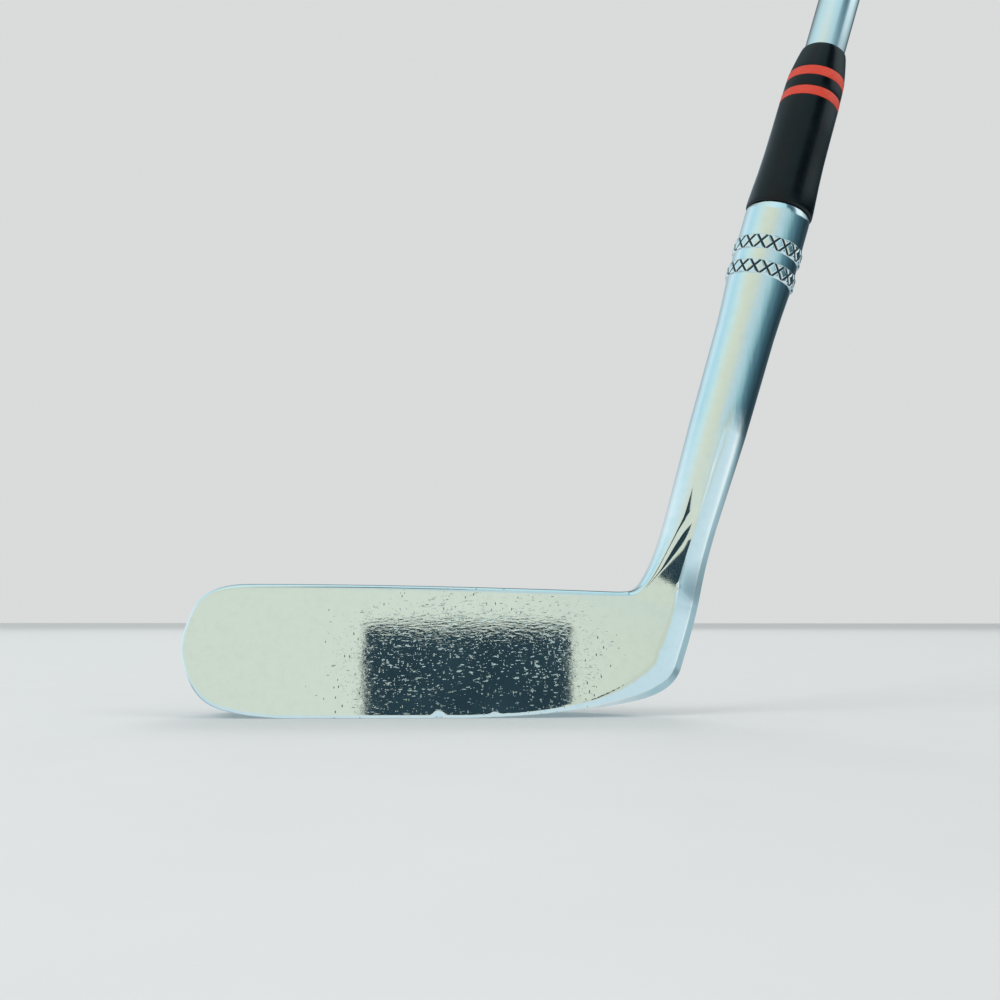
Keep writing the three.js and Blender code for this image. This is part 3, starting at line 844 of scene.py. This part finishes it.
# The studio round it, as colours by turn about the shaft's axis: degrees from straight ahead of
# the face, to the right positive. One row each for what the head, the hosel and the shaft see.
HEAD_SEES = [
    (-180, (0.55, 0.62, 0.65)), (-120, (0.80, 0.97, 1.05)), (-85, (0.66, 0.86, 0.95)),
    (-48, (0.69, 0.78, 0.71)), (-26, (0.68, 0.77, 0.69)), (0, (0.70, 0.78, 0.69)),
    (20, (0.61, 0.69, 0.59)), (30, (0.60, 0.68, 0.58)), (37, (0.58, 0.77, 0.86)),
    (64, (0.64, 0.82, 0.91)), (82, (0.88, 1.0, 1.05)), (98, (0.42, 0.61, 0.69)),
    (125, (0.33, 0.49, 0.56)), (155, (0.5, 0.6, 0.66)),
]
HOSEL_SEES = [
    (-180, (0.42, 0.52, 0.57)), (-160, (0.42, 0.56, 0.64)), (-126, (0.64, 0.86, 0.96)),
    (-103, (0.46, 0.77, 0.91)), (-74, (0.62, 0.84, 0.86)), (-50, (0.70, 0.78, 0.66)),
    (-20, (0.64, 0.73, 0.64)), (0, (0.52, 0.70, 0.76)), (18, (0.44, 0.66, 0.73)),
    (33, (0.29, 0.52, 0.59)), (51, (0.11, 0.24, 0.30)), (76, (0.045, 0.11, 0.15)),
    (106, (0.02, 0.045, 0.06)), (145, (0.05, 0.08, 0.10)), (162, (0.3, 0.38, 0.42)),
]
SHAFT_SEES = [
    (-180, (0.16, 0.20, 0.22)), (-155, (0.16, 0.21, 0.23)), (-128, (0.36, 0.48, 0.51)),
    (-100, (0.55, 0.76, 0.80)), (-60, (0.63, 0.86, 0.91)), (-42, (0.66, 0.91, 1.03)),
    (-14, (0.50, 0.83, 0.94)), (6, (0.42, 0.72, 0.83)), (18, (0.11, 0.22, 0.28)),
    (34, (0.05, 0.11, 0.14)), (48, (0.20, 0.33, 0.40)), (60, (0.80, 1.0, 1.08)),
    (80, (0.80, 1.0, 1.05)), (100, (0.50, 0.68, 0.73)), (132, (0.10, 0.15, 0.16)),
]


def around(n, turn, stops):
    """A colour ramp over a whole turn, which ends as it starts."""
    ramp = n.add("ValToRGB")
    marks = ramp.color_ramp.elements
    marks[0].position, marks[0].color = 0.0, (*stops[0][1], 1)
    marks[1].position, marks[1].color = 1.0, (*stops[0][1], 1)
    for degrees, color in stops[1:]:
        marks.new(degrees / 360 + 0.5).color = (*color, 1)
    n.link(turn, ramp.inputs[0])
    return ramp.outputs[0]


def dot(n, vec, axis):
    d = n.add("VectorMath", operation="DOT_PRODUCT")
    n.link(vec, d.inputs[0])
    d.inputs[1].default_value = tuple(axis)
    return d.outputs["Value"]


world = bpy.data.worlds.new("studio")
bpy.context.scene.world = world
world.use_nodes = True
nw = Nodes(world)
look = nw.add("TexCoord").outputs["Generated"]
height = dot(nw, look, UP)
side, ahead = dot(nw, look, SIDE), dot(nw, look, (0, -1, 0))
angle = nw.math("ARCTAN2", side, ahead)
turn = nw.math("ADD", nw.math("DIVIDE", angle, 2 * math.pi), 0.5)
head_sees, hosel_sees, shaft_sees = (
    around(nw, turn, row) for row in (HEAD_SEES, HOSEL_SEES, SHAFT_SEES)
)
upper = nw.mix(nw.ramp(height, 0.47, 0.56), hosel_sees, shaft_sees)
room = nw.mix(nw.ramp(height, 0.09, 0.25), head_sees, upper)
# pale blue below, deeper behind
lift = dot(nw, look, (0, 0, 1))
behind = nw.mix(nw.ramp(lift, -0.25, -0.62), (0.10, 0.17, 0.21), (0.38, 0.55, 0.63))
behind = nw.mix(nw.ramp(lift, -0.72, -0.95), behind, (0.72, 0.78, 0.79))
low = nw.mix(nw.ramp(ahead, 0.1, -0.3), (0.60, 0.78, 0.87), behind)
room = nw.mix(nw.ramp(lift, -0.22, -0.45), room, low)
# only reflections see the coloured room: the camera and the floor get a plain pale one
mirror = nw.add("LightPath").outputs["Is Glossy Ray"]
bg = world.node_tree.nodes["Background"]
nw.link(nw.mix(mirror, (0.70, 0.71, 0.71), room), bg.inputs["Color"])
bg.inputs["Strength"].default_value = 1.0


LIT = Vector((0.1, 0, 0.2))  # where the lights point


def area(name, place, size, power, color=(1, 1, 1)):
    """A soft light, which reflections don't see."""
    light = bpy.data.lights.new(name, "AREA")
    light.shape = "RECTANGLE"
    light.size, light.size_y = size
    light.energy = power
    light.color = color
    ob = linked(name, light)
    ob.location = place
    ob.rotation_euler = (LIT - Vector(place)).to_track_quat("-Z", "Y").to_euler()
    ob.visible_glossy = False


area("key", (-1.9, -1.6, 2.3), (1.6, 1.6), 30, (0.98, 1.0, 1.0))
area("fill", (2.2, -1.2, 1.9), (1.4, 1.4), 14)
area("back", (0.2, 2.2, 2.2), (1.8, 1.2), 16)

cam_data = bpy.data.cameras.new("camera")
cam_data.lens = 36
cam_data.sensor_width = 36
cam_data.clip_start = 0.01
cam = linked("camera", cam_data)
cam.location = (0.01547, -0.22224, 0.02033)
cam.rotation_euler = (math.radians(96.996), math.radians(-0.03), math.radians(-1.668))
bpy.context.scene.camera = cam
bpy.context.scene.view_settings.view_transform = "Standard"
